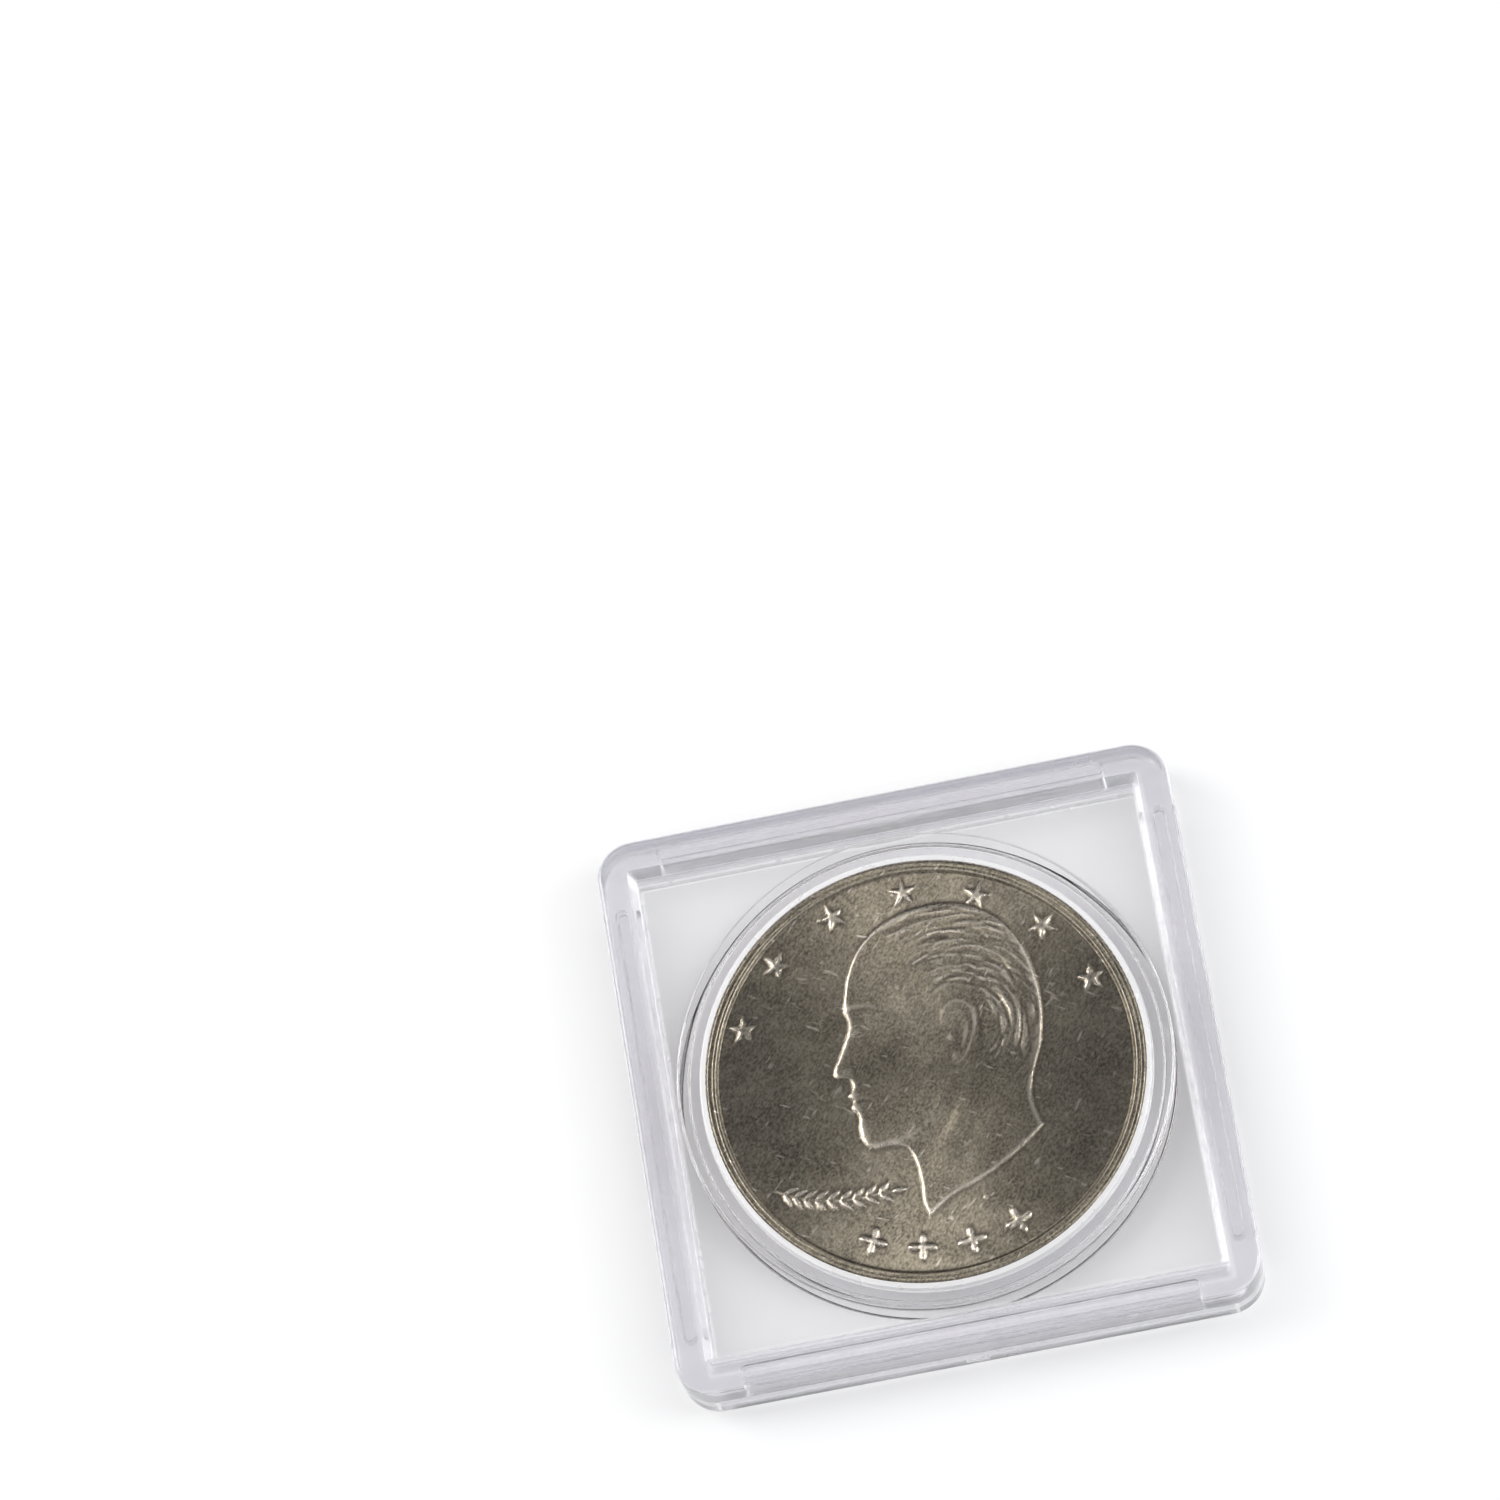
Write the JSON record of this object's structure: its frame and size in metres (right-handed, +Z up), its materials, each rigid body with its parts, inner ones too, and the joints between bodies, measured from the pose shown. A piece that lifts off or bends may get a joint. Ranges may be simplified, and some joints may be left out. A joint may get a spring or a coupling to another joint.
{
  "type": "square coin capsule with coin",
  "caption": "Flat clear square snap-together capsule with a raised rim, a round window and a large clad coin held in its well.",
  "frame": {"origin": "middle of the capsule's lower rim face, the plane that it rests on", "axes": "+Z up through the coin's thickness, obverse up; +Y towards the top of the head on the coin; +X to its right"},
  "size_m": [0.0506, 0.0506, 0.0062],
  "materials": {
    "clear_plastic": "gloss",
    "cupronickel": "satin",
    "copper": "satin"
  },
  "bodies": {
    "back": {"back_shell": "clear_plastic"},
    "front": {"front_shell": "clear_plastic"},
    "coin": {"coin_core": "copper", "coin_reverse": "cupronickel", "coin_obverse": "cupronickel"}
  },
  "joints": [
    {"name": "lid_lift", "type": "slide", "parent": "back", "child": "front", "axis": [0, 0, 1], "range_m": [0, 0.024]},
    {"name": "coin_lift", "type": "slide", "parent": "back", "child": "coin", "axis": [0, 0, 1], "range_m": [0, 0.012]}
  ],
  "couplings": [
    {"joint": "coin_lift", "follows": "lid_lift", "ratio": 0.5}
  ]
}
